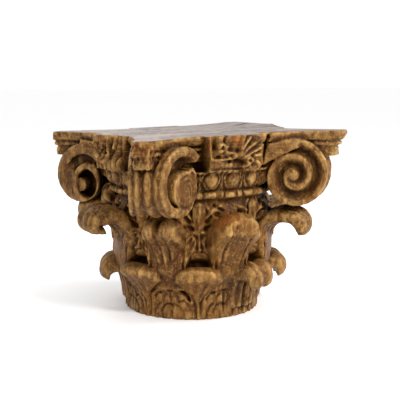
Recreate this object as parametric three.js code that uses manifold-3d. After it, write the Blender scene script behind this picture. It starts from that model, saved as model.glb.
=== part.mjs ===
// A carved and gilded timber column capital of the composite order, in millimetres, +Z up.
// The origin is the centre of the round underside. The sides face -Y, +X, +Y and -X, and a corner scroll
// stands on each diagonal. It is one block of wood, so every carved form is joined into one solid.
import * as THREE from "three";
import { mergeVertices } from "three/addons/utils/BufferGeometryUtils.js";
import Module from "manifold-3d";

const wasm = await Module();
wasm.setup();

// Driving sizes
const HEIGHT = 350;
const CORNER_RADIUS = 304; // from the axis to the middle of an abacus corner
const CORNER_HALF_WIDTH = 14;
const SIDE_DEPTH = 156; // from the axis to the middle of a hollow abacus side
const ABACUS_BOTTOM = 302;
const BELL_FOOT_RADIUS = 124;
const FOOT_WASTE = 12; // length below the underside that the last cut takes off
const EGG_COUNT = 24;
const LEAF_COUNT = 8; // in each of the two rows
const SCROLL_RADIUS = 70; // at the top of the outer turn
const SCROLL_AXIS_RADIUS = 219; // from the capital's axis to a scroll's eye
const SCROLL_AXIS_HEIGHT = 266;
const SCROLL_PITCH = 0.42; // share of the scroll radius lost in each turn
const SCROLL_EDGE_HALF_WIDTH = 24;
const SCROLL_FLARE = Math.tan(THREE.MathUtils.degToRad(16)); // each face turns in from the diagonal
const SCROLL_EYE_RADIUS = 6.5;
const BUD_RADIUS = 146; // from the axis to the middle of a bud
const BUD_MIDDLE = 210;
const BUD_HALF_SIZE = [10, 11, 23];
const FLEURON_FRONT = 194; // from the axis to the face of a side flower
const FLEURON_HUB = 295;
const FLEURON_HALF_WIDTH = 48;
const FLEURON_SPREAD = 98; // degrees to each side of upright
const FLEURON_PETALS = 7;
const SPLIT_DEPTH = 45; // to each side of the abacus side
const LEAN = 0.024; // the top is out of level by this slope
const LEAN_HEADING = THREE.MathUtils.degToRad(-27.6);
const LEAN_FROM = 190;
const LEAN_TO = 300;
const FAR = 400; // beyond everything

const DIAGONALS = [45, 135, 225, 315].map(THREE.MathUtils.degToRad);
const SCROLL_SHIFTS = [[0, 0], [4, -8], [0, 0], [-6, 2]]; // out and up: no two scrolls sit quite alike
const SIDES = [0, 90, 180, 270].map(THREE.MathUtils.degToRad);
const FRONT = THREE.MathUtils.degToRad(270);
const LEFT = THREE.MathUtils.degToRad(180);
const FRONT_CORNER = THREE.MathUtils.degToRad(225);

// Radius and height up the bell and the drum
const BELL_PROFILE = [
  [0, -FOOT_WASTE], [BELL_FOOT_RADIUS, -FOOT_WASTE], [125, 80], [131, 150],
  [139, 195], [148, 226], [150, 310], [0, 310],
];

// Height, radius between the eggs, swell of the egg, share of the step that it fills
const EGG_ROWS = [
  [232, 149, 2, 0.6], [240, 154, 9, 0.76], [248, 155, 2, 0.4], [257, 159, 10, 0.54],
  [269, 161, 13, 0.68], [280, 167, 2, 0.5], [283, 146, 0, 0.5],
];

// Inset from the widest plan, and height
const ABACUS_PROFILE = [
  [34, 274], [34, ABACUS_BOTTOM], [14, ABACUS_BOTTOM + 0.5], [12, 323], [9, 325],
  [8, 331], [3, 338], [0, 348], [1, HEIGHT],
];

// Radius, height, half thickness and half width on the line through the middle of a leaf
const LOWER_LEAF = [
  [124, -FOOT_WASTE, 10, 50], [124, 30, 10, 47], [128, 62, 10, 47], [145, 88, 15, 42],
  [165, 90, 15, 41], [178, 74, 11, 33], [171, 59, 6, 20],
];
const UPPER_LEAF = [
  [132, 98, 9, 49], [136, 130, 9, 46], [144, 158, 10, 47], [163, 182, 13, 43],
  [194, 193, 14, 43], [220, 190, 14, 40], [231, 172, 11, 33], [218, 160, 5, 20],
];

// The front leaf has lost its roll and stands as a stout shaft with a rounded top
const FRONT_LEAF = [
  [129, 50, 12, 26], [139, 84, 20, 36], [146, 112, 25, 40], [152, 142, 28, 42], [163, 166, 32, 45],
  [170, 184, 33, 45], [168, 194, 24, 44], [164, 201, 8, 38],
];
const FRONT_LEAF_PLACE = 6; // in the upper row, counted from +X

// Share of the half width, and relief there: the outer face, then the one that is on top of the roll
const LEAF_OUTER = [[-1, -5], [-0.68, 3.5], [-0.36, -2.5], [0, 4.5], [0.36, -2.5], [0.68, 3.5], [1, -5]];
const LEAF_INNER = [[1, -6], [0.5, 2.5], [0, -2.5], [-0.5, 2.5], [-1, -6]];

// Distance out, lower and upper height of the arm that carries a scroll
const ARM_STATIONS = [[138, 278, 322], [190, 290, 328], [SCROLL_AXIS_RADIUS + 6, 305, 334]];

// Height, place across the front and half width of the open split
const SPLIT_STATIONS = [[360, 60, 2.6], [338, 62, 2.4], [318, 57, 1.8], [296, 56, 1.1], [276, 55, 0.4]];

// Wood that is gone: plan angle, distance out, half width, low, high, lean and twist of the break
const LEAF_STEP = (2 * Math.PI) / LEAF_COUNT;
const LOSSES = [
  [FRONT_CORNER, 287, 60, 299, 360, 0.12, 0.1], // abacus corner
  [FRONT, 204, 70, 140, 216, 0.02, -0.06], // face of the front leaf
  [FRONT_CORNER, 228, 60, 140, 212, 0.08, 0.05], // upper leaf tip
  [FRONT_CORNER + LEAF_STEP / 2, 180, 60, 40, 116, 0.05, 0.08], // lower leaf tip
  [FRONT + LEAF_STEP / 2, 184, 60, 40, 116, 0.05, -0.08], // lower leaf tip
  [LEFT, 172, 70, 300, 360, -0.1, 0.12], // upper half of the side flower
];

const giltWood = new THREE.MeshStandardMaterial({ color: 0x9a6c33, roughness: 0.5, metalness: 0.35 });

// A point at a plan angle, a radius out and a distance across, at a height
function place(angle, out, across, height) {
  return new THREE.Vector3(
    out * Math.cos(angle) - across * Math.sin(angle),
    out * Math.sin(angle) + across * Math.cos(angle),
    height,
  );
}

function solidFrom(geometry) {
  const bare = new THREE.BufferGeometry().setAttribute("position", geometry.getAttribute("position"));
  bare.setIndex(geometry.index);
  const merged = mergeVertices(bare, 1e-4);
  const triVerts = new Uint32Array(merged.index.array);
  const mesh = { numProp: 3, vertProperties: new Float32Array(merged.attributes.position.array), triVerts };
  const solid = new wasm.Manifold(new wasm.Mesh(mesh));
  if (solid.volume() > 0) return solid;
  for (let i = 0; i < triVerts.length; i += 3) triVerts.subarray(i, i + 3).reverse();
  return new wasm.Manifold(new wasm.Mesh(mesh));
}

// A closed skin through rings of points that all have the same count, with a fan of faces on each end
function loft(rings) {
  const count = rings[0].length;
  const middles = [rings[0], rings.at(-1)].map((ring) =>
    ring.reduce((sum, point) => sum.add(point), new THREE.Vector3()).divideScalar(count),
  );
  const index = [];
  const firstMiddle = rings.length * count;
  const lastRing = firstMiddle - count;
  for (let j = 0; j < count; j++) {
    const next = (j + 1) % count;
    for (let i = 0; i < lastRing; i += count) {
      index.push(i + j, i + next, i + j + count, i + next, i + next + count, i + j + count);
    }
    index.push(firstMiddle, next, j, firstMiddle + 1, lastRing + j, lastRing + next);
  }
  const geometry = new THREE.BufferGeometry().setFromPoints([...rings.flat(), ...middles]);
  geometry.setIndex(index);
  return solidFrom(geometry);
}

// The bell, plain behind the leaves, and the drum up into the abacus
function bell() {
  const points = BELL_PROFILE.map(([radius, height]) => new THREE.Vector2(radius, height));
  const geometry = new THREE.LatheGeometry(points, 24);
  geometry.rotateX(Math.PI / 2);
  return solidFrom(geometry);
}

// The turned ring under the abacus: long beads below, eggs above, each under the other
function eggRing() {
  const step = (2 * Math.PI) / EGG_COUNT;
  return loft(
    EGG_ROWS.map(([height, radius, swell, share]) =>
      Array.from({ length: EGG_COUNT }, (_, i) => {
        const middle = FRONT + step * i;
        const edge = (share * step) / 2;
        return [
          place(middle - step / 2, radius, 0, height),
          place(middle - edge, radius + swell, 0, height),
          place(middle + edge, radius + swell, 0, height),
        ];
      }).flat(),
    ),
  );
}

// Plan of the abacus: four hollow sides between cut corners
function abacusPlan(inset, height) {
  const steps = 7;
  const corner = CORNER_RADIUS - inset;
  const half = (corner - CORNER_HALF_WIDTH) * Math.SQRT1_2;
  const end = (corner + CORNER_HALF_WIDTH) * Math.SQRT1_2;
  const rise = end - (SIDE_DEPTH - inset);
  const radius = (half * half + rise * rise) / (2 * rise);
  const sweep = Math.asin(half / radius);
  return SIDES.flatMap((side) =>
    Array.from({ length: steps + 1 }, (_, i) => {
      const turn = sweep * ((2 * i) / steps - 1);
      const out = SIDE_DEPTH - inset + radius * (1 - Math.cos(turn));
      return place(side, out, radius * Math.sin(turn), height);
    }),
  );
}

function abacus() {
  return loft(ABACUS_PROFILE.map(([inset, height]) => abacusPlan(inset, height)));
}

// A leaf is a curved slab that climbs the bell, rolls outwards and ends in a hanging tip
function leaf(angle, stations) {
  const middle = stations.map(([radius, height]) => new THREE.Vector3(radius, 0, height));
  const spine = new THREE.CatmullRomCurve3(middle);
  const rings = stations.map(([radius, height, thickness, width], i) => {
    const tangent = spine.getTangent(i / (stations.length - 1));
    const fade = 1 - (0.65 * i) / stations.length;
    const face = (columns, sign) =>
      columns.map(([share, relief]) => {
        const depth = sign * Math.max(thickness * (1 - 0.4 * share * share) + relief * fade, 2);
        const turned = angle + (share * width) / radius;
        return place(turned, radius + depth * tangent.z, 0, height - depth * tangent.x);
      });
    return [...face(LEAF_OUTER, 1), ...face(LEAF_INNER, -1)];
  });
  return loft(rings);
}

function leafRow(firstTurn, stationsOf) {
  return Array.from({ length: LEAF_COUNT }, (_, i) => leaf(LEAF_STEP * (i + firstTurn), stationsOf(i)));
}

// A flower bud on the bell in each gap of the upper row
function buds() {
  return Array.from({ length: LEAF_COUNT }, (_, i) => {
    const geometry = new THREE.SphereGeometry(1, 5, 4);
    geometry.rotateX(Math.PI / 2);
    geometry.scale(...BUD_HALF_SIZE);
    geometry.translate(BUD_RADIUS, 0, BUD_MIDDLE);
    geometry.rotateZ(LEAF_STEP * (i + 0.5));
    return solidFrom(geometry);
  });
}

// Scroll spiral: its radius after a number of turns from the top, going outwards first
const spiralRadius = (turns) => SCROLL_RADIUS * (1 - SCROLL_PITCH * turns);

// Half the width of a scroll, which grows inwards
const scrollHalfWidth = (along) =>
  SCROLL_EDGE_HALF_WIDTH + (SCROLL_AXIS_RADIUS + SCROLL_RADIUS - along) * SCROLL_FLARE;

// A point of a scroll: share is -1 on one spiral face and 1 on the other
function scrollPoint({ angle, out, up }, radius, turns, share) {
  const along = SCROLL_AXIS_RADIUS + radius * Math.sin(2 * Math.PI * turns);
  const height = SCROLL_AXIS_HEIGHT + radius * Math.cos(2 * Math.PI * turns);
  return place(angle, along + out, share * scrollHalfWidth(along), height + up);
}

// One scroll as a single skin: a band winds in to the eye on both faces, and ridges run round the edge
function scrollSkin(stand) {
  const perTurn = 11;
  const steps = 18;
  const pitch = SCROLL_RADIUS * SCROLL_PITCH;
  const points = [];
  const index = [];
  const add = (radius, turns, share) => points.push(scrollPoint(stand, radius, turns, share)) - 1;
  const quad = (a, b, c, d) => index.push(a, b, c, a, c, d);
  const fan = (loop, middle) => loop.forEach((a, i) => index.push(middle, a, loop[(i + 1) % loop.length]));
  const faces = [-1, 1].map((sign) =>
    Array.from({ length: steps + 1 }, (_, i) => {
      const turns = i / perTurn;
      const radius = spiralRadius(turns);
      const outer = i <= perTurn ? 0.86 : 0.72;
      return [[0, i === perTurn ? 0.72 : outer], [0.26, 1], [0.62, 0.95]].map(([inwards, share]) =>
        add(radius - inwards * pitch, turns, sign * share),
      );
    }),
  );
  faces.forEach((rows, side) => {
    const turned = (loop) => (side === 1 ? loop : loop.reverse());
    for (let i = 0; i < steps; i++) {
      const [a, b, c] = rows[i];
      const [nextA, nextB, nextC] = rows[i + 1];
      quad(...turned([a, nextA, nextB, b]));
      quad(...turned([b, nextB, nextC, c]));
      if (i + perTurn < steps) quad(...turned([c, nextC, rows[i + 1 + perTurn][0], rows[i + perTurn][0]]));
    }
    const lastTurn = rows.slice(steps - perTurn).map((row) => row[2]);
    const eye = add(SCROLL_EYE_RADIUS, steps / perTurn + 0.25, side === 1 ? 0.98 : -0.98);
    fan(turned([...lastTurn, rows[steps][1], rows[steps][0]]), eye);
  });
  const ridges = [[-0.5, 0], [-0.3, 5], [0, 1], [0.3, 5], [0.5, 0]];
  const rim = Array.from({ length: perTurn + 1 }, (_, i) => [
    faces[0][i][0],
    ...ridges.map(([share, cut]) => add(spiralRadius(i / perTurn) - cut, i / perTurn, share)),
    faces[1][i][0],
  ]);
  for (let i = 0; i < perTurn; i++) {
    for (let j = 0; j + 1 < rim[i].length; j++) {
      quad(rim[i][j], rim[i + 1][j], rim[i + 1][j + 1], rim[i][j + 1]);
    }
  }
  const [near, far] = faces.map((rows) => [rows[perTurn][0], rows[0][2], rows[0][1]]);
  fan([...near, ...rim[0], ...far.reverse(), ...rim[perTurn].slice(1, -1).reverse()], add(56, 0, 0));
  const geometry = new THREE.BufferGeometry().setFromPoints(points);
  geometry.setIndex(index);
  return solidFrom(geometry);
}

// The arm that carries a scroll out from under the abacus
function scrollArm(angle) {
  return loft(
    ARM_STATIONS.map(([out, low, high]) => {
      const across = scrollHalfWidth(out) - 3;
      return [
        place(angle, out, -across, low),
        place(angle, out, across, low),
        place(angle, out, across, high),
        place(angle, out, -across, high),
      ];
    }),
  );
}

function scroll(angle, i) {
  const [out, up] = SCROLL_SHIFTS[i];
  return [scrollSkin({ angle, out, up }), scrollArm(angle)];
}

// The flower in the middle of a side: petals spread as a fan from a hub near the foot of a block
function fleuron(angle) {
  const rim = Array.from({ length: 2 * FLEURON_PETALS + 1 }, (_, i) => {
    const turn = THREE.MathUtils.degToRad(FLEURON_SPREAD * (i / FLEURON_PETALS - 1));
    const toTop = (HEIGHT - 1 - FLEURON_HUB) / Math.max(Math.cos(turn), 0.1);
    const toSide = FLEURON_HALF_WIDTH / Math.abs(Math.sin(turn));
    const reach = Math.min(toTop, toSide);
    const tip = i % 2 === 1;
    return { turn, reach: tip ? reach : reach * 0.86, raise: tip ? 4 : -5 };
  });
  const ring = (scale, out, relief) =>
    rim.map(({ turn, reach, raise }) => {
      const across = -scale * reach * Math.sin(turn);
      const height = FLEURON_HUB + scale * reach * Math.cos(turn);
      return place(angle, out + relief * raise, across, height);
    });
  const back = ring(1, SIDE_DEPTH - 45, 0);
  return loft([back, ring(1, FLEURON_FRONT - 8, 0), ring(0.72, FLEURON_FRONT, 1)]);
}

// A break: the lost wood beyond a plane that stands across a plan angle and leans back as it rises
function loss([angle, reach, halfWidth, low, high, lean, twist]) {
  const near = (across, height) => reach + twist * across - lean * (height - low);
  return loft(
    [low, high].map((height) => [
      place(angle, near(-halfWidth, height), -halfWidth, height),
      place(angle, FAR, -halfWidth, height),
      place(angle, FAR, halfWidth, height),
      place(angle, near(halfWidth, height), halfWidth, height),
    ]),
  );
}

// Everything under the underside
function footWaste() {
  const corners = (height) => DIAGONALS.map((diagonal) => place(diagonal, FAR, 0, height));
  return loft([corners(-2 * FOOT_WASTE), corners(0)]);
}

// The open split beside the front flower, wide at the top and closing as it goes down
function split() {
  return loft(
    SPLIT_STATIONS.map(([height, across, half]) => [
      place(FRONT, SIDE_DEPTH - SPLIT_DEPTH, across, height),
      place(FRONT, SIDE_DEPTH + SPLIT_DEPTH, across - half, height),
      place(FRONT, SIDE_DEPTH + SPLIT_DEPTH, across + half, height),
    ]),
  );
}

// The upper part has settled out of level
function settle(geometry) {
  const position = geometry.getAttribute("position");
  for (let i = 0; i < position.count; i++) {
    const along = position.getX(i) * Math.cos(LEAN_HEADING) + position.getY(i) * Math.sin(LEAN_HEADING);
    const share = THREE.MathUtils.smoothstep(position.getZ(i), LEAN_FROM, LEAN_TO);
    position.setZ(i, position.getZ(i) + LEAN * along * share);
  }
}

function geometryFrom(solid) {
  const mesh = solid.getMesh();
  const geometry = new THREE.BufferGeometry();
  geometry.setAttribute("position", new THREE.BufferAttribute(new Float32Array(mesh.vertProperties), 3));
  geometry.setIndex(new THREE.BufferAttribute(new Uint32Array(mesh.triVerts), 1));
  return geometry;
}

function carvedBlock() {
  const forms = [
    bell(),
    abacus(),
    ...leafRow(0.5, () => LOWER_LEAF),
    ...leafRow(0, (i) => (i === FRONT_LEAF_PLACE ? FRONT_LEAF : UPPER_LEAF)),
    ...buds(),
    eggRing(),
    ...DIAGONALS.flatMap(scroll),
    ...SIDES.map(fleuron),
  ];
  const whole = forms.reduce((joined, form) => joined.add(form));
  const cuts = [...LOSSES.map(loss), footWaste(), split()];
  const worn = cuts.reduce((left, lost) => left.subtract(lost), whole);
  const geometry = geometryFrom(worn);
  settle(geometry);
  geometry.computeVertexNormals();
  return geometry;
}

const capital = new THREE.Mesh(carvedBlock(), giltWood);
capital.name = "capital";

const part = new THREE.Group();
part.add(capital);

export default part;
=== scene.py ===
import math

import bpy
import numpy as np
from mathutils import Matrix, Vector, noise
from mathutils.bvhtree import BVHTree


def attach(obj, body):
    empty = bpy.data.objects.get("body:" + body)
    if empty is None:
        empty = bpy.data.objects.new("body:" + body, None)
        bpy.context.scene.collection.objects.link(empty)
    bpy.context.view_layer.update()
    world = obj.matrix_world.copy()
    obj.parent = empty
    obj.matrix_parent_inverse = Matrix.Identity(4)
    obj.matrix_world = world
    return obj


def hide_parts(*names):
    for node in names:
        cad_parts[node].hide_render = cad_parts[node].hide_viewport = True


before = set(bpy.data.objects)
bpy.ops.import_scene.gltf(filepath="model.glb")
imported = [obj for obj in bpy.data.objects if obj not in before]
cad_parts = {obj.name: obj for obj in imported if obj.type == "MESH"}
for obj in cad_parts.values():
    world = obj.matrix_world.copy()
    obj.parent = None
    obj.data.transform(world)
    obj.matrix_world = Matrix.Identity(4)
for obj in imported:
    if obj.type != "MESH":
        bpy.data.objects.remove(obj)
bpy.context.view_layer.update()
bpy.ops.object.select_all(action="DESELECT")

mm = 0.001
fullTurn = 2 * math.pi
leafStep = 45  # degrees from leaf to leaf in a row
carvings = []  # every carved form, joined into one block later
noise.seed_set(1)  # without a seed noise_vector goes by the clock


def smoothStep(low, high, x):
    t = np.clip((x - low) / (high - low), 0, 1)
    return t * t * (3 - 2 * t)


def bump(x, middle, reach):
    return np.exp(-(((x - middle) / reach) ** 2))


def dome(x, power=2.0):  # 1 in the middle, 0 from x = 1 on
    return np.clip(1 - np.abs(x) ** power, 0, 1) ** (1 / power)


def polar(angle, out, across, height):
    x = out * np.cos(angle) - across * np.sin(angle)
    y = out * np.sin(angle) + across * np.cos(angle)
    return np.stack([x, y, height + 0 * x], axis=-1)


def straight(stations, v):  # straight runs through rows of numbers, v from 0 to 1
    table = np.array(stations, dtype=float)
    at = np.linspace(0, 1, len(table))
    return [np.interp(v, at, column) for column in table.T]


def flow(stations, v, closed=False):  # smooth curve through rows of numbers
    table = np.array(stations, dtype=float)
    count = len(table)
    runs = count if closed else count - 1
    place = np.clip(v, 0, 1) * runs
    i = np.minimum(place.astype(int), runs - 1)
    f = (place - i)[:, None]
    near = [(i + step) % count if closed else np.clip(i + step, 0, count - 1) for step in (-1, 0, 1, 2)]
    a, b, c, d = (table[n] for n in near)
    bend = 2 * a - 5 * b + 4 * c - d
    return (0.5 * (2 * b + (c - a) * f + bend * f**2 + (3 * b - a - 3 * c + d) * f**3)).T


def stroke(x, y, points, width):  # 1 along a drawn line, fading out over its width
    best = np.full(x.shape, 1e9)
    for (ax, ay), (bx, by) in zip(points[:-1], points[1:]):
        dx, dy = bx - ax, by - ay
        t = np.clip(((x - ax) * dx + (y - ay) * dy) / max(dx * dx + dy * dy, 1e-9), 0, 1)
        best = np.minimum(best, (x - ax - t * dx) ** 2 + (y - ay - t * dy) ** 2)
    return np.exp(-best / width**2)


def drawn(x, y, strokes):  # the drawn lines together: height, width and points of each
    relief = np.zeros(x.shape)
    for height, width, points in strokes:
        relief = relief + height * stroke(x, y, points, width)
    return relief


def shapeGrid(name, columns, rows, shape):  # shape(u, v) gives places in millimetres
    bpy.ops.mesh.primitive_grid_add(x_subdivisions=columns, y_subdivisions=rows, size=2)
    piece = bpy.context.object
    piece.name = name
    places = np.empty(len(piece.data.vertices) * 3, dtype=np.float32)
    piece.data.vertices.foreach_get("co", places)
    u, v = (places.reshape(-1, 3)[:, :2].T.astype(float) + 1) / 2
    piece.data.vertices.foreach_set("co", (shape(u, v) * mm).astype(np.float32).ravel())
    bpy.ops.object.mode_set(mode="EDIT")
    bpy.ops.mesh.select_all(action="SELECT")
    bpy.ops.mesh.remove_doubles(threshold=0.01 * mm)
    bpy.ops.mesh.normals_make_consistent(inside=False)
    bpy.ops.object.mode_set(mode="OBJECT")
    carvings.append(piece)
    return piece


def breakOff(piece, point, outwards):  # everything beyond the plane is lost
    bpy.ops.object.select_all(action="DESELECT")
    piece.select_set(True)
    bpy.context.view_layer.objects.active = piece
    bpy.ops.object.mode_set(mode="EDIT")
    bpy.ops.mesh.select_all(action="SELECT")
    bpy.ops.mesh.bisect(plane_co=Vector(point) * mm, plane_no=outwards, use_fill=True, clear_outer=True)
    bpy.ops.object.mode_set(mode="OBJECT")


def loop(x, y, wide, tall, lean):  # a closed drawn line
    turns = [fullTurn * i / 14 for i in range(15)]
    return [(x + wide * math.cos(t) - lean * tall * math.sin(t), y + tall * math.sin(t)) for t in turns]


# bell: bare drum above, two carved sleeves below
bell = {
    "drum": [(0, 150), (130, 150), (134, 220), (146, 232), (150, 300), (0, 300)],
    "lowerSleeve": [(132, -8), (132, 30), (134, 55), (138, 75), (143, 96)],
    "upperSleeve": [(138, 58), (142, 90), (146, 120), (147, 150), (147, 180), (145, 205), (148, 234)],
    "palmette": [  # side lobes of two upper leaves meeting under a bud: height, width, line, on which hand
        (3, 2.0, [(0, 138), (0, 168)], 0),
        (4, 1.8, loop(11.5, 149, 4.2, 12, 0.2), 0),
        (4, 4.2, [(23, 102), (23, 130), (20, 148)], 0),
        (-4, 1.6, [(23, 106), (22, 144)], 0),
        (4, 2.0, [(33, 146), (28, 162), (18, 171), (5, 172)], 0),
        (4, 1.8, [(29, 142), (25, 156), (18, 164), (12, 166)], 0),
        (4, 2.0, [(26, 104), (22, 124), (13, 136), (2, 139)], 0),
        (3, 1.7, [(13, 124), (9, 131), (3, 133)], 0),
        (-15, 8.5, [(0, 112), (14, 110)], 0),
        (-5, 2.0, [(18, 108), (17, 138), (15, 160)], 0),
        (-5, 1.9, [(29, 96), (28, 148)], 0),
        (-4, 2.0, [(4.5, 134), (5, 164)], 0),
        (4, 2.2, [(8, 178), (15, 198), (26, 214), (44, 220)], 0),
        (4, 2.0, [(12, 227), (24, 206), (36, 197)], 0),
        (-8, 3.8, [(12, 179), (22, 184), (30, 178)], 0),
        (-9, 4.2, [(17, 192), (25, 203), (38, 207)], 0),
        (-7, 3.0, [(30, 221), (46, 212)], 1),
    ],
    "leafFoot": [  # half of a lower leaf, from its stem to the joint with the next
        (3.5, 2.4, [(0, -10), (0, 52)], 0),
        (-2.5, 2.0, [(5, -10), (7, 40)], 0),
        (4.5, 2.4, [(11, 34), (13, 47), (20, 59), (31, 64), (39, 58)], -1),
        (2.5, 2.6, [(12, 30), (16, 46), (25, 56), (36, 58)], 1),
        (-9, 3.2, [(15, 40), (20, 50), (28, 56)], -1),
        (-4, 2.6, [(17, 42), (24, 51), (33, 53)], 1),
        (-3.5, 1.7, [(12, -10), (14, 16), (19, 30), (27, 38), (35, 36)], -1),
        (-3.5, 1.7, [(15, -10), (17, 14), (23, 26), (30, 31)], 1),
        (-3.5, 1.7, [(29, -10), (30, 15), (36, 25), (44, 30), (51, 27)], -1),
        (-4, 1.9, [(31, -10), (31, 16), (37, 27), (46, 31), (52, 28)], 1),
        (-3, 1.8, [(36, 34), (38, 45), (45, 50)], 0),
        (2, 3.0, [(46, 36), (45, 44)], 1),
        (-6, 1.9, [(52.5, -10), (52.5, 76)], 0),
        (2.5, 1.8, [(44, 56), (40, 72), (34, 92)], 0),
        (-3, 1.8, [(49, 58), (46, 74), (41, 94)], 0),
        (-3, 1.8, [(38, 64), (33, 76), (27, 94)], 0),
        (2, 1.8, [(22, -10), (22, 14)], 0),
    ],
}


def sleeveShape(profile, strokes, start, middleOut, niche):  # a ring of eight like sectors
    def shape(u, v):
        rows = np.clip((v - 0.03) / 0.94, 0, 1)
        radius, height = straight(profile, rows)
        angle = u * fullTurn
        sector = (np.degrees(angle) - start + leafStep / 2) // leafStep
        off = np.radians((np.degrees(angle) - start + leafStep / 2) % leafStep - leafStep / 2)
        hand = np.sin(sector * 12.9898) * 1.6  # no two sectors quite alike
        across = off * middleOut + hand * np.sin(height / 23 + sector)
        relief = niche * smoothStep(9, 30, np.abs(across))
        relief = relief * smoothStep(62, 100, height) * smoothStep(226, 196, height)
        for depth, width, points, side in strokes:
            line = depth * stroke(np.abs(across), height + hand, points, width)
            relief += line * (1 if side == 0 else smoothStep(-1, 1, side * across))
        radius = np.where((v < 0.015) | (v > 0.985), 0, radius + relief)
        return polar(angle, radius, 0, height)

    return shape


def carveBell():
    def shape(u, v):
        radius, height = straight(bell["drum"], v)
        return polar(u * fullTurn, radius, 0, height)

    shapeGrid("drum", 120, 40, shape)
    shapeGrid("lowerSleeve", 640, 84, sleeveShape(bell["lowerSleeve"], bell["leafFoot"], 22.5, 134, 0))
    shapeGrid("upperSleeve", 640, 130, sleeveShape(bell["upperSleeve"], bell["palmette"], 22.5, 148, 15))


# ring of eggs over a string of beads
eggRing = {
    "count": 24, "start": 270, "low": 229, "high": 284,
    "profile": [
        (229, 147), (233, 152), (247, 152), (249, 153), (258, 156), (270, 158), (279, 161), (284, 163),
    ],
}


def carveEggRing():
    step = fullTurn / eggRing["count"]

    def shape(u, v):
        angle = u * fullTurn
        height = eggRing["low"] + np.clip((v - 0.04) / 0.92, 0, 1) * (eggRing["high"] - eggRing["low"])
        share = ((angle - math.radians(eggRing["start"])) / step + 0.5) % 1 - 0.5  # 0 in the middle of an egg
        radius = np.interp(height, *np.array(eggRing["profile"]).T)
        up = (height - 267) / 16.5
        egg = 1 - (share / 0.33) ** 2 / np.clip(0.95 + 0.3 * up - 0.2 * up**2, 0.3, 2) - up**2
        radius += 13 * np.sqrt(np.clip(egg, 0, 1))
        radius -= 4 * bump(egg, -0.08, 0.1) * smoothStep(249, 253, height)
        radius += 7 * bump(egg, -0.42, 0.2) * smoothStep(248, 252, height)  # shell round each egg
        radius += 6 * bump(np.abs(share), 0.5, 0.05) * smoothStep(249, 256, height)  # dart
        radius += 6 * smoothStep(279, 281, height)
        bead = np.clip(1 - ((height - 240) / 6.6) ** 2, 0, 1)
        long = np.clip(1 - (share / 0.3) ** 6, 0, 1)
        reel = np.maximum(bump(np.abs(share), 0.395, 0.026), bump(np.abs(share), 0.5, 0.04))
        radius += 9 * np.sqrt(bead) * np.maximum(np.sqrt(long), 0.9 * reel)
        radius = np.where((v < 0.02) | (v > 0.98), 0, radius)
        return polar(angle, radius, 0, height)

    shapeGrid("eggRing", eggRing["count"] * 28, 80, shape)


# abacus with hollow sides and cut corners
abacus = {
    "corner": 304, "cornerHalf": 14, "side": 156, "hand": 1.2, "breakOut": 287,
    "sideShare": 0.93, "cornerShare": 0.07,  # of half a side, for its curve and for the cut corner
    "profile": [
        (34, 274), (34, 302), (15, 302.5), (14, 318), (18, 319), (18, 322), (10, 323), (9, 328),
        (13, 329), (13, 332), (5, 333), (2, 338), (0, 344), (1, 349), (3, 350),
    ],
}


def abacusPlan(turn, inset):  # a share of the way round, from the middle of the +X side
    quarter = (turn * 4 + 0.5) % 1 * 2 - 1
    side = np.floor(turn * 4 + 0.5) * math.pi / 2
    corner = abacus["corner"] - inset
    half = (corner - abacus["cornerHalf"]) * math.sqrt(0.5)
    end = (corner + abacus["cornerHalf"]) * math.sqrt(0.5)
    rise = end - (abacus["side"] - inset)
    radius = (half**2 + rise**2) / (2 * rise)
    along = np.clip(quarter / abacus["sideShare"], -1, 1) * np.arcsin(half / radius)
    out = abacus["side"] - inset + radius * (1 - np.cos(along))
    across = radius * np.sin(along)
    beyond = np.clip((np.abs(quarter) - abacus["sideShare"]) / abacus["cornerShare"], 0, 1)
    middle = corner * math.sqrt(0.5)
    return side, out + (middle - out) * beyond, across + (np.sign(quarter) * middle - across) * beyond


def carveAbacus():
    def shape(u, v):
        inset, height = straight(abacus["profile"], np.clip((v - 0.06) / 0.88, 0, 1))
        inset = inset + abacus["hand"] * np.sin(u * 97) * np.sin(u * 41 + height * 0.3)
        side, out, across = abacusPlan(u, inset)
        reach = smoothStep(0, 0.06, v) * smoothStep(1, 0.94, v)
        return polar(side, out * reach, across * reach, height)

    piece = shapeGrid("abacus", 520, 150, shape)
    reach, corner = abacus["breakOut"], math.radians(225)
    breakOff(piece, (reach * math.cos(corner), reach * math.sin(corner), 330), (-0.65, -0.75, 0.12))
    breakOff(piece, (-185, -212, 350), (-0.45, -0.62, 0.7))
    breakOff(piece, (-211, 211, 330), (-0.69, 0.69, 0.14))  # sawn end of the left corner


# hooked leaves: rows of radius, height, half thickness and half width, from the foot to the tip
lowerHook = {
    "rows": [
        (128, 16, 8, 42), (130, 40, 9, 45), (133, 62, 10, 46), (139, 79, 12, 46), (150, 88, 16, 45),
        (161, 88, 17, 42), (170, 80, 15, 38), (173, 69, 10.5, 32), (169, 58, 4, 22),
    ],
    "further": 0, "roll": (0.35, 0.6),
}
upperHook = {
    "rows": [
        (142, 84, 9, 30), (144, 108, 10, 36), (145, 132, 10, 42), (148, 155, 12, 45), (157, 175, 13, 45),
        (170, 187, 13.5, 44), (184, 191, 13.5, 42), (197, 192, 13, 41), (210, 191, 14, 40),
        (221, 184, 15, 38), (226, 173, 14, 34), (225, 163, 11, 28), (221, 157, 4, 20),
    ],
    "further": 0, "roll": (0.35, 0.55),
}
upperStubby = dict(upperHook, rows=[
    (142, 84, 9, 30), (144, 110, 10, 36), (147, 145, 11, 44), (157, 172, 13, 45), (171, 192, 16, 44),
    (188, 198, 17, 43), (204, 197, 18, 42), (217, 193, 19, 40), (222, 184, 17, 36), (215, 175, 12, 30),
    (204, 169, 7, 24), (195, 163, 3, 16),
])
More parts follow.
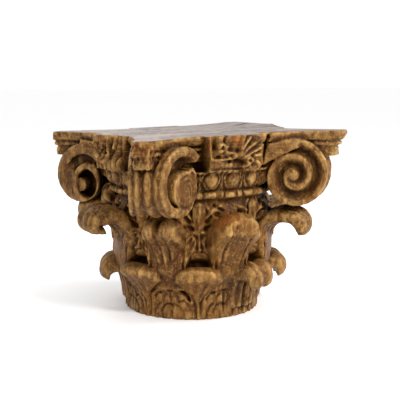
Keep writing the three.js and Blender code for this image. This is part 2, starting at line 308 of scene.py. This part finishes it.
hookStands = {  # leaves unlike the rest of their row
    "upper180": dict(upperStubby, further=-4),
    "lower337": dict(lowerHook, further=6),
    "upper135": upperStubby,
}
# full leaves: a closed outline of radius and height, drawn out sideways and closed to its root
lowerFull = {
    "outline": [
        (122, 26), (135, 36), (143, 49), (151, 61), (160, 72), (170, 81), (178, 90), (176, 99),
        (164, 106), (148, 106), (130, 94), (122, 60),
    ],
    "root": (130, 72), "half": 50, "round": 4.6, "drop": 0.25, "groove": 3,
    "neck": (30, 88, 0.2), "taper": 0.08, "flutes": 0.02,
    "slots": [(-0.5, 0.05), (-0.15, 0.03), (0.3, 0.05), (0.7, 0.04)],
}
upperBroken = {
    "outline": [
        (124, 46), (138, 66), (150, 88), (164, 114), (178, 140), (193, 160), (206, 174), (211, 186),
        (207, 197), (197, 206), (184, 210), (166, 207), (150, 194), (136, 168),
    ],
    "root": (134, 140), "half": 47, "round": 5.5, "drop": 0.42, "groove": 0,
    "neck": (50, 150, 0.7), "taper": 0.05, "flutes": 0.012,
    "slots": [(-0.5, 0.12), (0.48, 0.11), (0.0, 0.04), (0.8, 0.05)],
}
upperLobed = {
    "outline": [
        (124, 46), (137, 66), (149, 88), (161, 112), (174, 136), (187, 151), (200, 160), (213, 168),
        (222, 180), (219, 193), (206, 202), (188, 204), (168, 199), (150, 186), (136, 168),
    ],
    "root": (136, 150), "half": 41, "round": 3.4, "drop": 0.34, "groove": 11,
    "neck": (50, 165, 0.5), "taper": 0.1, "flutes": 0.02,
    "slots": [(-0.6, 0.07), (-0.15, 0.06), (0.3, 0.07), (0.65, 0.05)],
}
curls = {"lower202": lowerFull, "lower247": lowerFull, "upper225": upperLobed, "upper270": upperBroken}
curlBreaks = {"upper270": (204, 0.02, -0.06), "lower247": (174, 0.2, 0.06)}  # distance out, lean, twist


def carveHook(name, degrees, hook, seed):
    angle = math.radians(degrees)
    hand = noise.noise_vector((seed * 3.7, 1.3, 2.9))

    def shape(u, v):
        share = np.where(u < 0.5, 4 * u - 1, 3 - 4 * u)  # out along the outer face, back along the inner one
        outer = u < 0.5
        radius, height, thick, width = flow(hook["rows"], v)
        ahead, behind = flow(hook["rows"], v + 0.012), flow(hook["rows"], v - 0.012)
        length = np.hypot(ahead[0] - behind[0], ahead[1] - behind[1])
        goesOut, goesUp = (ahead[0] - behind[0]) / length, (ahead[1] - behind[1]) / length
        m = np.abs(share)
        roll = smoothStep(*hook["roll"], v)
        body = thick * np.clip(1 - m**4, 0, 1) ** 0.42
        rib = 3 * bump(m, 0, 0.1) - 3 * bump(m, 0.2, 0.06) + 1.6 * np.cos(fullTurn * 2.6 * m)
        hollow = -3.5 * bump(m, 0, 0.12) + 2 * bump(m, 0.45, 0.3) + 1.2 * np.cos(fullTurn * 2.6 * m)
        line = -2.5 * bump(m, 0.8, 0.05) * roll  # along the rolled edge
        relief = (np.where(outer, rib * (1 - 0.5 * roll), hollow * roll) + line) * np.clip(1 - m**6, 0, 1)
        ends = np.sqrt(np.clip(np.minimum(v / 0.02, (1 - v) / 0.05), 0, 1))
        depth = np.where(outer, 1, -1) * np.maximum(body + relief, 0.5 * body) * ends
        out = radius + depth * goesUp + hook["further"] * roll + 2 * hand.x * roll
        up = height - depth * goesOut - 4 * roll * m**2.5 + 2 * hand.y * roll
        return polar(angle + share * width / radius, out, 0, up)

    shapeGrid(name, 120, 120, shape)


def carveCurl(name, degrees, curl, seed):
    angle = math.radians(degrees)
    rootOut, rootUp = curl["root"]
    outs = [point[0] for point in curl["outline"]]
    low, high = min(outs), max(outs)
    neckLow, neckHigh, neckShare = curl["neck"]
    hand = noise.noise_vector((seed * 3.7, 1.3, 2.9))

    def shape(u, v):
        out, up = flow(curl["outline"], u, closed=True)
        share = np.sin((v - 0.5) * math.pi)
        tip = np.clip((out - low) / (high - low), 0, 1)
        under = smoothStep(0.15, 0.45, u) * smoothStep(0.62, 0.5, u)
        under = np.clip(under + smoothStep(0.0, 0.1, u) * smoothStep(0.5, 0.3, u), 0, 1)
        waves = np.cos(share * 13 + hand.x) + 0.7 * np.cos(share * 29)
        flutes = curl["flutes"] * waves * under
        veins = 0.013 * np.cos(share * 15) * tip + 0.006 * np.cos(share * 37 + 3 * tip)
        notch = curl["groove"] / 70 * bump(share, 0.06 * hand.x, 0.16) * smoothStep(0.35, 0.9, tip)
        for at, deep in curl["slots"]:
            flutes = flutes - deep * bump(share, at, 0.05) * under
        rolled = 0.05 * bump(np.abs(share), 0.86, 0.05) * smoothStep(0.3, 0.6, tip)  # along the rolled edge
        relief = 1 + veins + flutes - notch - rolled + 0.05 * hand.y * share
        full = dome(share, curl["round"])
        arch = (1 - curl["drop"]) * full + curl["drop"] * dome(share, 1.8)
        newOut = rootOut + (out - rootOut) * full * relief
        newUp = rootUp + (up - rootUp) * arch * relief + 2.5 * hand.z * tip
        neck = neckShare + (1 - neckShare) * smoothStep(neckLow, neckHigh, up)
        width = curl["half"] * (1 - curl["taper"] * tip**2) * neck
        return polar(angle + share * width / np.maximum(newOut, 130), newOut, 0, newUp)

    piece = shapeGrid(name, 120, 80, shape)
    if name in curlBreaks:
        reach, lean, twist = curlBreaks[name]
        outwards = Vector((math.cos(angle), math.sin(angle), lean))
        outwards += twist * Vector((math.sin(angle), -math.cos(angle), 0))
        breakOff(piece, (reach * math.cos(angle), reach * math.sin(angle), rootUp + 10), outwards)


def carveCurls():
    for row, hook, start in (("lower", lowerHook, 22.5), ("upper", upperHook, 0)):
        for i in range(8):
            name = row + str(int(start + leafStep * i))
            if name in curls:
                carveCurl(name, start + leafStep * i, curls[name], len(carvings))
            else:
                carveHook(name, start + leafStep * i, hookStands.get(name, hook), len(carvings))


# buds on the bell between the upper leaves
bud = {"out": 147, "up": 200, "half": (10, 11, 28)}


def carveBuds():
    for i in range(8):
        angle = math.radians(leafStep / 2 + leafStep * i)

        def shape(u, v):
            around, down = u * fullTurn, v * math.pi
            waist = np.sin(down) * (1 + 0.14 * np.cos(around * 5)) * (1 + 0.3 * np.cos(down))
            out = bud["out"] + bud["half"][0] * waist * np.cos(around)
            across = bud["half"][1] * waist * np.sin(around)
            return polar(angle, out, across, bud["up"] + bud["half"][2] * np.cos(down))

        shapeGrid("bud" + str(i), 40, 24, shape)


# stump of a stalk beside the left scroll
stump = {"angle": 152, "out": 158, "up": 222, "half": (24, 22, 24)}


def carveStump():
    angle = math.radians(stump["angle"])

    def shape(u, v):
        around, down = u * fullTurn, v * math.pi
        lumps = 1 + 0.12 * np.cos(around * 3 + down * 2) + 0.08 * np.cos(around * 7 - down * 5)
        out = stump["out"] + stump["half"][0] * np.sin(down) * np.cos(around) * lumps
        across = stump["half"][1] * np.sin(down) * np.sin(around) * lumps
        return polar(angle, out, across, stump["up"] + stump["half"][2] * np.cos(down) * lumps)

    shapeGrid("stump", 60, 40, shape)


# corner scrolls
scroll = {
    "radius": 70, "pitch": 0.42, "out": 219, "up": 266, "edgeHalf": 24, "flare": math.tan(math.radians(16)),
    "band": 0.40, "groove": 10, "ridge": 5.5, "start": -0.13,
}
scrollStands = [  # shifts out and up, extra width of the second face, set-back of the arm
    {"name": "back", "angle": 45, "out": 0, "up": 0, "wide": 0, "setBack": 4},
    {"name": "left", "angle": 135, "out": 4, "up": -8, "wide": 0, "setBack": 4},
    {"name": "front", "angle": 225, "out": 0, "up": 0, "wide": 10, "setBack": 16},
    {"name": "right", "angle": 315, "out": -6, "up": 2, "wide": 0, "setBack": 1},
]


def scrollHalf(along):
    return scroll["edgeHalf"] + (scroll["out"] + scroll["radius"] - along) * scroll["flare"]


def spiralRelief(turn, radius):
    winding = (1 - radius / scroll["radius"]) / scroll["pitch"] - turn
    share = winding % 1
    crown = dome(share / scroll["band"] * 2 - 1, 2.2)
    inwards = np.clip((share - scroll["band"]) / (1 - scroll["band"]), 0, 1)
    scoop = np.sin(math.pi * inwards**1.5) ** 0.8  # deepest towards the next turn
    relief = np.where(share < scroll["band"], 3 * (crown - 1), -3 - scroll["groove"] * scoop)
    return relief * (1 - smoothStep(12, 7, radius)) - 1.5 * smoothStep(40, 10, radius)


def scrollRelief(name, face, turn, radius, rim):  # height above the face
    out, up = radius * np.sin(fullTurn * turn), radius * np.cos(fullTurn * turn)
    inside = rim - radius
    band = 5 * (dome(inside / (11.5 if name == "left" else 9) - 1, 2.6) - 1)
    if name == "front" and face > 0:  # one open turn round a broad disc with an incised spiral
        fromDisc = np.hypot(out + 14, up + 8)
        disc = smoothStep(36, 34, fromDisc)
        around = np.arctan2(up + 8, out + 14) / fullTurn
        lines = -1.6 * bump((fromDisc / 9 - around) % 1, 0.5, 0.17)
        floor = -25 * smoothStep(17, 19, inside)
        return np.where(inside < 18, band, floor) * (1 - disc) + (lines - 2 - 2 * (fromDisc / 36) ** 4) * disc
    if name == "left" and face > 0:  # inner whorl as a ring round a deep hollow with a boss in it
        around = np.hypot((out + 15) / 24, (up + 14) / 30)
        ring = 4 * dome((around - 1.27) / 0.3, 2.4)
        top = smoothStep(0.19, 0.08, np.abs((turn + 0.5) % 1 - 0.5))
        band = np.where(inside < 23, band * (0.4 + 0.6 * top), -1 - 12 * top)
        relief = band * smoothStep(1.42, 1.56, around) + ring - 3
        hollow = smoothStep(1.06, 0.94, around)
        boss = smoothStep(18, 14, np.hypot(out - 3, up + 17))
        return relief * (1 - hollow) - 34 * hollow * (1 - boss) - 4 * hollow * boss
    return spiralRelief(turn, radius)


def carveScroll(stand):
    angle = math.radians(stand["angle"])
    faceRows, wallStart = 0.4, 0.97

    def shape(u, v):
        turn = scroll["start"] + np.minimum(u / wallStart, 1)
        spiral = scroll["radius"] * (1 - scroll["pitch"] * turn)
        rim = spiral + smoothStep(wallStart, 1, u) * scroll["radius"] * scroll["pitch"]
        face = np.where(v < 0.5, -1.0, 1.0)
        inwards = np.clip(np.minimum(v, 1 - v) / faceRows, 0, 1)
        across = np.clip((v - faceRows) / (1 - 2 * faceRows), 0, 1) * 2 - 1
        onRim = (v > faceRows) & (v < 1 - faceRows)
        cut = scroll["ridge"] * np.sin(1.5 * math.pi * (across - 0.04)) ** 2 * (1 - across**8)
        radius = np.where(onRim, rim - cut, rim * inwards)
        along = scroll["out"] + radius * np.sin(fullTurn * turn)
        half = scrollHalf(along)
        relief = np.where(
            face < 0,
            scrollRelief(stand["name"], -1, turn, radius, rim),
            scrollRelief(stand["name"], 1, turn, radius, rim),
        )
        faceHalf = half + stand["wide"] * (face > 0)
        flat = np.maximum(faceHalf + relief, 5)
        flat = flat + (faceHalf - 5 - flat) * smoothStep(0.97, 1, inwards)
        ridged = across * (half - 5 + stand["wide"] / 2) + stand["wide"] / 2
        reach = np.where(onRim, ridged, face * flat)
        height = scroll["up"] + stand["up"] + radius * np.cos(fullTurn * turn)
        return polar(angle, along + stand["out"], reach, height)

    shapeGrid("scroll" + stand["name"], 240, 160, shape)


# arms and webs that carry the scrolls: rows of distance out, low and high
armRows = [(120, 280, 322), (150, 284, 325), (175, 298, 329), (195, 309, 332), (225, 321, 336)]
webRows = [(120, 250, 320), (150, 254, 322), (178, 264, 325), (196, 288, 328)]


def carveArm(name, degrees, rows, setBack):  # from under the abacus out to the top of the scroll
    def shape(u, v):
        out, low, high = straight(rows, np.clip((v - 0.05) / 0.9, 0, 1))
        across = np.interp(u, [0, 0.25, 0.5, 0.75, 1], [-1, 1, 1, -1, -1]) * (scrollHalf(out) - setBack)
        height = np.interp(u, [0, 0.25, 0.5, 0.75, 1], [0, 0, 1, 1, 0])
        closing = smoothStep(0, 0.04, v) * smoothStep(1, 0.96, v)
        middle = (low + high) / 2
        up = middle + (low + (high - low) * height - middle) * closing
        return polar(math.radians(degrees), out, across * closing, up)

    shapeGrid(name, 80, 40, shape)


# flowers in the middle of the sides
fleuron = {
    "front": 190, "back": 112, "low": 284, "high": 350, "hub": (-3, 306), "petals": 11,
    "face": 0.86, "edge": 0.97,  # shares of the grid where the face ends and where the back begins
}
fleuronWhole = []
for petal in range(fleuron["petals"]):
    sweep = math.radians(-110 + 220 * petal / (fleuron["petals"] - 1))
    hubX, hubY = fleuron["hub"]
    tips = [(hubX + reach * math.sin(sweep), hubY + reach * math.cos(sweep)) for reach in (9, 24, 42)]
    fleuronWhole.append((9, 3.4, tips))
fleuronFront = [  # across, height: petals on the right, what is left of curls on the left
    (8, 3.6, [(2, 311), (18, 326), (41, 340)]), (8, 3.4, [(0, 316), (12, 334), (27, 352)]),
    (8, 3.4, [(6, 307), (22, 316), (43, 324)]), (7, 3.2, [(-2, 318), (4, 334), (12, 352)]),
    (8, 3.2, [(14, 303), (21, 308), (27, 303), (21, 298), (15, 300)]), (6, 3.4, [(32, 311), (48, 312)]),
    (7, 3.4, [(9, 292), (17, 295), (22, 290), (16, 286)]), (7, 4.0, [(36, 300), (46, 290)]),
    (6, 4.0, [(-38, 331), (-32, 335), (-24, 329)]), (6, 3.6, [(-38, 320), (-30, 324), (-20, 318)]),
    (6, 3.4, [(-14, 318), (-7, 313), (-12, 306), (-19, 309)]), (-8, 2.6, [(-39, 312), (-37, 312)]),
    (-8, 2.6, [(-16, 303), (-15, 303)]), (-8, 2.4, [(-4, 322), (-3, 322)]), (-9, 2.6, [(3, 309), (4, 309)]),
    (-5, 2.2, [(-44, 308), (-24, 310), (6, 304)]), (7, 6.5, [(-10, 337), (-3, 352)]),
    (-6, 3.0, [(-28, 338), (-22, 352)]), (6, 4.5, [(-59, 308), (-59, 356)]),
    (-9, 4.5, [(-46, 330), (-46, 356)]), (-5, 5.0, [(-45, 310), (-46, 326)]),
    (5, 7.0, [(-34, 297), (-14, 297)]), (-4, 3.0, [(-50, 288), (8, 288)]),
]
fleuronLeft = [  # ragged stumps only
    (10, 7.0, [(-40, 334), (-34, 340)]), (8, 5.0, [(-16, 338), (-12, 348)]),
    (10, 4.0, [(18, 326), (20, 346)]), (-12, 3.0, [(-20, 320), (-18, 324)]),
    (-10, 3.0, [(8, 304), (12, 306)]), (7, 4.0, [(-38, 308), (-22, 300), (-4, 300)]),
    (-7, 3.0, [(-30, 322), (-8, 314)]), (6, 4.0, [(30, 310), (36, 330)]), (-9, 4.0, [(2, 330), (6, 346)]),
]
fleurons = {  # plan angle, middle across, half width, drawn lines
    "right": (0, 38, 96, fleuronWhole), "back": (90, 0, 57, fleuronWhole),
    "left": (180, -5, 57, fleuronLeft), "front": (270, -5, 57, fleuronFront),
}


def carveFleuron(name):
    degrees, middleAcross, half, strokes = fleurons[name]
    low, high = fleuron["low"], fleuron["high"]
    face, edge = fleuron["face"], fleuron["edge"]

    def shape(u, v):
        a, b = 2 * u - 1, 2 * v - 1
        rim = np.maximum(np.abs(a), np.abs(b))
        across = np.clip(a / face, -1, 1) * half
        height = low + (np.clip(b / face, -1, 1) + 1) / 2 * (high - low)
        across = across * (0.86 + 0.14 * smoothStep(low, high, height))  # narrower at the foot
        across = across + middleAcross
        relief = drawn(across, height, strokes) - 8
        if name == "left":  # the upper part is split away
            lost = 16 * smoothStep(-16, 10, across) * smoothStep(300, 318, height)
            relief -= lost + 4 * np.sin(across * 0.35)
        if name == "front":
            relief += 2 - 5 * smoothStep(-8, -16, across) * smoothStep(306, 312, height)
            relief -= 9 * smoothStep(16, 4, across) * smoothStep(309, 303, height)
        out = fleuron["front"] + relief
        out = np.where(rim > face, np.interp(rim, [face, edge], [0, 1]) * (fleuron["back"] - out) + out, out)
        closing = smoothStep(1, edge, rim)
        middle = (low + high) / 2
        return polar(math.radians(degrees), out, across * closing, middle + (height - middle) * closing)

    shapeGrid("fleuron" + name, 120, 100, shape)


# one block: joined, worn and settled
block = {
    "voxel": 1.7, "triangles": 195000,
    "lean": 0.024, "leanHeading": -27.6, "leanFrom": 190, "leanTo": 300, "warp": 5,
    "crack": [  # height, across, half width
        (352, 72, 3.2), (340, 76, 2.6), (325, 73, 1.8), (312, 71, 0.8), (296, 70, 0.2),
    ],
    "rough": [  # broken places: where, how far they reach, how rough
        ((-190, -195, 330), 38, 3.2), ((-8, -206, 172), 34, 2.2),
        ((-186, 16, 330), 40, 3.0), ((-28, -190, 325), 16, 1.6),
    ],
}


def joinBlock():
    bpy.ops.object.select_all(action="DESELECT")
    for piece in carvings:
        piece.select_set(True)
    bpy.context.view_layer.objects.active = carvings[0]
    bpy.ops.object.join()
    capital = bpy.context.object
    capital.name = "capitalCarved"
    remesh = capital.modifiers.new("Remesh", "REMESH")
    remesh.mode = "VOXEL"
    remesh.voxel_size = block["voxel"] * mm
    remesh.adaptivity = 0
    bpy.ops.object.modifier_apply(modifier="Remesh")
    print("remeshed", len(capital.data.polygons))
    return capital


def readPlaces(mesh, kind="co"):
    places = np.empty(len(mesh.vertices) * 3, dtype=np.float32)
    if kind == "co":
        mesh.vertices.foreach_get("co", places)
    else:
        mesh.vertex_normals.foreach_get("vector", places)
    return places.reshape(-1, 3).astype(float)


def wear(capital):  # hand-cut unevenness, rough breaks and the split
    mesh = capital.data
    places, normals = readPlaces(mesh) / mm, readPlaces(mesh, "normal")
    shift = np.zeros(len(places))
    for i, (x, y, z) in enumerate(places):
        shift[i] = 0.55 * noise.noise((x / 9, y / 9, z / 16)) + 0.45 * noise.noise((x / 3.6, y / 3.6, z / 12))
    for where, reach, depth in block["rough"]:
        near = np.linalg.norm(places - np.array(where, dtype=float), axis=1)
        for i in np.nonzero(near < reach)[0]:
            x, y, z = places[i]
            ragged = noise.noise((x / 7, y / 7, z / 10)) + 0.6 * noise.noise((x / 3, y / 3, z / 6))
            shift[i] += depth * ragged * (1 - (near[i] / reach) ** 4)
    high, across, half = np.array(block["crack"]).T[:, ::-1]
    middle, width = np.interp(places[:, 2], high, across), np.interp(places[:, 2], high, half)
    inCrack = (places[:, 1] < -110) & (places[:, 2] > 276)
    deep = 12 * np.minimum(width / 1.5, 1)
    shift -= deep * np.exp(-(((places[:, 0] - middle) / (0.5 * width + 0.9)) ** 2)) * inCrack
    flat = (places[:, 2] > 1) & ((places[:, 2] < 348) | (normals[:, 2] < 0.8))
    places = places + normals * (shift * flat)[:, None]
    mesh.vertices.foreach_set("co", (places * mm).astype(np.float32).ravel())
    mesh.update()


def settle(capital):  # flat foot, and a top that stands a little out of level
    places = readPlaces(capital.data) / mm
    places[:, 2] = np.where(places[:, 2] < 0.9, 0, places[:, 2])
    heading = math.radians(block["leanHeading"])
    along = places[:, 0] * math.cos(heading) + places[:, 1] * math.sin(heading)
    places[:, 2] += block["lean"] * along * smoothStep(block["leanFrom"], block["leanTo"], places[:, 2])
    x, y = places[:, 0], places[:, 1]
    warped = smoothStep(130, 185, x) * smoothStep(-62, 0, y) * smoothStep(210, 120, y)
    places[:, 2] += block["warp"] * warped * smoothStep(300, 345, places[:, 2])
    capital.data.vertices.foreach_set("co", (places * mm).astype(np.float32).ravel())
    capital.data.update()


def thin(capital):
    ratio = block["triangles"] / (2 * len(capital.data.polygons))
    if ratio < 1:
        decimate = capital.modifiers.new("Decimate", "DECIMATE")
        decimate.ratio = ratio
        bpy.ops.object.modifier_apply(modifier="Decimate")
    print("thinned", len(capital.data.polygons))


def addLayer(mesh, name, values):
    layer = mesh.attributes.new(name, "FLOAT", "POINT")
    layer.data.foreach_set("value", np.clip(values, 0, 1).astype(np.float32))


# The openness found here drives the grime and painted shade that the material lays into the hollows.
def paintHollows(capital):  # how much of the sky each point can see
    mesh = capital.data
    tree = BVHTree.FromPolygons([v.co for v in mesh.vertices], [p.vertices for p in mesh.polygons])
    rays, reach = 14, 60 * mm
    golden = math.pi * (3 - math.sqrt(5))
    sky = []
    for i in range(rays):
        up = math.sqrt(1 - (i + 0.5) / rays)
        flat = math.sqrt(1 - up * up)
        sky.append((flat * math.cos(golden * i), flat * math.sin(golden * i), up))
    seen = np.zeros(len(mesh.vertices))
    for i, vertex in enumerate(mesh.vertices):
        normal = vertex.normal
        side = normal.orthogonal().normalized()
        other = normal.cross(side)
        start = vertex.co + normal * 0.0004
        for x, y, z in sky:
            hit = tree.ray_cast(start, side * x + other * y + normal * z, reach)
            seen[i] += 1 if hit[0] is None else 0.6 * hit[3] / reach
    addLayer(mesh, "open", seen / rays)
    print("hollows", (seen / rays).mean())


bareSpots = [  # where, reach, how bare
    ((-59, -192, 318), 11, 1.0), ((-59, -192, 332), 11, 1.0), ((-60, -192, 346), 11, 1.0),
    ((-5, -192, 345), 15, 0.8), ((-34, -180, 203), 26, 0.95), ((-18, -188, 206), 22, 0.7),
    ((-190, 20, 340), 16, 0.5), ((-196, -200, 335), 22, 0.3), ((-28, -160, 222), 16, 0.5),
    ((-172, 60, 268), 14, 0.8),
]


# Masks for the material: ridge gives the painted highlight on convex places and grime with painted shade in
# concave ones; raw and bare mark top wood and broken wood.
def paintWearAndLightMasks(capital):
    mesh = capital.data
    places, normals = readPlaces(mesh) / mm, readPlaces(mesh, "normal")
    ends = np.empty(len(mesh.edges) * 2, dtype=np.int32)
    mesh.edges.foreach_get("vertices", ends)
    a, b = ends.reshape(-1, 2).T
    ridge, count = np.zeros(len(places)), np.zeros(len(places))
    for here, there in ((a, b), (b, a)):
        gap = places[there] - places[here]
        fall = -np.einsum("ij,ij->i", gap, normals[here]) / np.maximum(np.linalg.norm(gap, axis=1), 1e-6)
        np.add.at(ridge, here, fall)
        np.add.at(count, here, 1)
    ridge = ridge / np.maximum(count, 1)
    for turn in range(2):
        total = ridge.copy()
        np.add.at(total, a, ridge[b])
        np.add.at(total, b, ridge[a])
        ridge = total / (count + 1)
    addLayer(mesh, "ridge", 0.5 + 1.4 * ridge)
    addLayer(mesh, "raw", smoothStep(0.75, 0.95, normals[:, 2]) * smoothStep(335, 342, places[:, 2]))
    bare = np.zeros(len(places))
    for where, reach, share in bareSpots:
        near = np.linalg.norm(places - np.array(where, dtype=float), axis=1)
        bare = np.maximum(bare, share * smoothStep(reach, 0.6 * reach, near))
    addLayer(mesh, "bare", bare)


# The darkest brown serves both as grime and as painted shade in hollows and creases.
# The pale gold serves both as pale gilding in the grain and flecks and as painted highlight on the ridges.
gilt = {
    "gold": (0.165, 0.066, 0.013, 1), "paleGoldAndHighlight": (0.42, 0.24, 0.075, 1), "bole": (0.075, 0.021, 0.006, 1),
    "brown": (0.066, 0.026, 0.006, 1), "grimeAndShade": (0.012, 0.004, 0.001, 1), "bareWood": (0.32, 0.11, 0.022, 1),
    "rawLight": (0.26, 0.195, 0.16, 1), "rawDark": (0.06, 0.038, 0.028, 1), "slit": (0.010, 0.006, 0.004, 1),
}


def giltMaterial():
    material = bpy.data.materials.new("wornGildingAndShade")
    material.use_nodes = True
    nodes, links = material.node_tree.nodes, material.node_tree.links
    shader = nodes["Principled BSDF"]
    coords = nodes.new("ShaderNodeTexCoord").outputs["Object"]

    def layer(name):
        node = nodes.new("ShaderNodeAttribute")
        node.attribute_name = name
        return node.outputs["Fac"]

    def noiseAt(stretch, detail, rough=0.6):
        place = nodes.new("ShaderNodeMapping")
        place.inputs["Scale"].default_value = stretch
        links.new(coords, place.inputs["Vector"])
        node = nodes.new("ShaderNodeTexNoise")
        node.inputs["Scale"].default_value = 1
        node.inputs["Detail"].default_value = detail
        node.inputs["Roughness"].default_value = rough
        links.new(place.outputs["Vector"], node.inputs["Vector"])
        return node.outputs["Fac"]

    def ramp(value, *stops):
        node = nodes.new("ShaderNodeValToRGB")
        elements = node.color_ramp.elements
        for element, (at, level) in zip(elements, stops):
            element.position = at
            element.color = (level, level, level, 1)
        links.new(value, node.inputs["Fac"])
        return node.outputs["Color"]

    def mix(share, first, second, blend="MIX"):
        node = nodes.new("ShaderNodeMix")
        node.data_type = "RGBA"
        node.blend_type = blend
        for socket, value in ((node.inputs[0], share), (node.inputs[6], first), (node.inputs[7], second)):
            if isinstance(value, (tuple, float)):
                socket.default_value = value
            else:
                links.new(value, socket)
        return node.outputs[2]

    openness, ridge = layer("open"), layer("ridge")
    upright = noiseAt((150, 150, 20), 6, 0.7)
    level = noiseAt((20, 20, 220), 6, 0.7)
    height = nodes.new("ShaderNodeSeparateXYZ")
    links.new(coords, height.inputs[0])
    grain = mix(ramp(height.outputs["Z"], (0.298, 0.0), (0.304, 1.0)), upright, level)
    wornAndShaded = mix(ramp(noiseAt((22, 22, 13), 6), (0.44, 0.0), (0.62, 1.0)), gilt["gold"], gilt["brown"])
    wornAndShaded = mix(ramp(noiseAt((14, 14, 10), 5), (0.54, 0.0), (0.70, 0.8)), wornAndShaded, gilt["bole"])
    wornAndShaded = mix(ramp(height.outputs["Z"], (0.20, 0.0), (0.24, 0.45)), wornAndShaded, gilt["brown"])
    wornAndShaded = mix(ramp(grain, (0.50, 0.0), (0.62, 0.6)), wornAndShaded, gilt["bole"])
    wornAndShaded = mix(ramp(grain, (0.36, 0.4), (0.47, 0.0)), wornAndShaded, gilt["paleGoldAndHighlight"])
    wornAndShaded = mix(ramp(noiseAt((260, 260, 190), 2, 0.6), (0.58, 0.0), (0.68, 0.5)), wornAndShaded, gilt["paleGoldAndHighlight"])
    wornAndShaded = mix(ramp(noiseAt((210, 210, 150), 3, 0.6), (0.56, 0.0), (0.66, 0.8)), wornAndShaded, gilt["brown"])
    # Painted highlight: pale gold laid in noise patches on the convex ridges, where lamp glints would fall.
    onRidge = ramp(ridge, (0.50, 0.0), (0.66, 1.0))
    patches = ramp(noiseAt((70, 70, 45), 5, 0.7), (0.40, 0.0), (0.62, 1.0))
    lit = mix(onRidge, (0.0, 0.0, 0.0, 1.0), patches)
    wornAndShaded = mix(lit, wornAndShaded, gilt["paleGoldAndHighlight"])
    bareWood = mix(ramp(grain, (0.40, 0.0), (0.62, 0.7)), gilt["bareWood"], gilt["bole"])
    wornAndShaded = mix(layer("bare"), wornAndShaded, bareWood)
    # Grime and painted shade: the colour goes towards the darkest brown where a point sees little sky, in
    # recesses and under overhangs.
    dirtAndShade = ramp(openness, (0.22, 0.95), (0.68, 0.0))
    wornAndShaded = mix(dirtAndShade, wornAndShaded, gilt["grimeAndShade"])
    # Grime and painted shade in the creases: the concave side of the ridge measure darkens the colour.
    sunk = ramp(ridge, (0.36, 0.85), (0.49, 0.0))
    wornAndShaded = mix(sunk, wornAndShaded, gilt["grimeAndShade"])
    topGrain = ramp(noiseAt((5, 30, 6), 7, 0.8), (0.40, 0.0), (0.62, 1.0))
    rawWood = mix(topGrain, gilt["rawLight"], gilt["rawDark"])
    rawWood = mix(ramp(noiseAt((9, 32, 8), 2, 0.5), (0.63, 0.0), (0.66, 1.0)), rawWood, gilt["slit"])
    wornAndShaded = mix(layer("raw"), wornAndShaded, rawWood)
    links.new(wornAndShaded, shader.inputs["Base Color"])
    links.new(ramp(openness, (0.45, 0.0), (0.9, 0.35)), shader.inputs["Metallic"])
    links.new(ramp(openness, (0.45, 0.0), (0.9, 0.14)), shader.inputs["Specular IOR Level"])
    links.new(ramp(noiseAt((60, 60, 40), 4), (0.3, 0.26), (0.75, 0.56)), shader.inputs["Roughness"])
    dents = nodes.new("ShaderNodeBump")
    dents.inputs["Strength"].default_value = 0.8
    dents.inputs["Distance"].default_value = 0.004
    links.new(mix(0.5, grain, noiseAt((240, 240, 120), 4)), dents.inputs["Height"])
    links.new(dents.outputs["Normal"], shader.inputs["Normal"])
    return material


studio = {
    "azimuth": -27.61, "distance": 1.7116, "height": 0.4536, "aim": 0.170,
    "lens": 77.44, "sensor": 36, "shiftX": 0.0208, "shiftY": 0.050,
    "floor": 60.0, "floorHeight": -0.0005, "paper": (0.93, 0.93, 0.93, 1), "paperRough": 0.9,
    "world": 1.05, "lampAim": 0.18,
    "lamps": [  # name, place, size, power
        ("key", (0.3, -2.3, 1.9), 0.5, 50), ("side", (2.4, -1.2, 1.5), 0.7, 40),
        ("back", (0.2, 2.2, 2.0), 1.4, 20),
    ],
}


def setStudio():
    azimuth = math.radians(studio["azimuth"])
    away = studio["distance"]
    eye = Vector((away * math.sin(azimuth), -away * math.cos(azimuth), studio["height"]))
    aim = Vector((0, 0, studio["aim"]))
    bpy.ops.object.camera_add(location=eye, rotation=(aim - eye).to_track_quat("-Z", "Y").to_euler())
    camera = bpy.context.object
    camera.data.lens = studio["lens"]
    camera.data.sensor_width = studio["sensor"]
    camera.data.shift_x = studio["shiftX"]
    camera.data.shift_y = studio["shiftY"]
    bpy.context.scene.camera = camera
    bpy.ops.mesh.primitive_plane_add(size=studio["floor"], location=(0, 0, studio["floorHeight"]))
    floor = bpy.context.object
    floor.name = "floor"
    paper = bpy.data.materials.new("paper")
    paper.use_nodes = True
    sheet = paper.node_tree.nodes["Principled BSDF"]
    sheet.inputs["Base Color"].default_value = studio["paper"]
    sheet.inputs["Roughness"].default_value = studio["paperRough"]
    floor.data.materials.append(paper)
    world = bpy.data.worlds.new("studioWorld")
    bpy.context.scene.world = world
    world.use_nodes = True
    world.node_tree.nodes["Background"].inputs["Color"].default_value = (1, 1, 1, 1)
    world.node_tree.nodes["Background"].inputs["Strength"].default_value = studio["world"]
    for name, place, size, power in studio["lamps"]:
        bpy.ops.object.light_add(type="AREA", location=place)
        lamp = bpy.context.object
        lamp.name = name
        towards = Vector((0, 0, studio["lampAim"])) - Vector(place)
        lamp.rotation_euler = towards.to_track_quat("-Z", "Y").to_euler()
        lamp.data.size = size
        lamp.data.energy = power
    bpy.context.scene.view_settings.view_transform = "Standard"


setStudio()
print("studio set")
carveBell()
carveEggRing()
carveAbacus()
carveCurls()
carveBuds()
carveStump()
for stand in scrollStands:
    carveScroll(stand)
    carveArm("arm" + stand["name"], stand["angle"], armRows, stand["setBack"])
    carveArm("web" + stand["name"], stand["angle"], webRows, stand["setBack"] + 10)
for sideName in fleurons:
    carveFleuron(sideName)
print("forms carved", len(carvings))

capital = joinBlock()
wear(capital)
settle(capital)
thin(capital)
paintHollows(capital)
paintWearAndLightMasks(capital)
capital.data.materials.clear()
capital.data.materials.append(giltMaterial())
bpy.ops.object.shade_smooth()
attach(capital, "root")
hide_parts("capital")
print("capital finished")
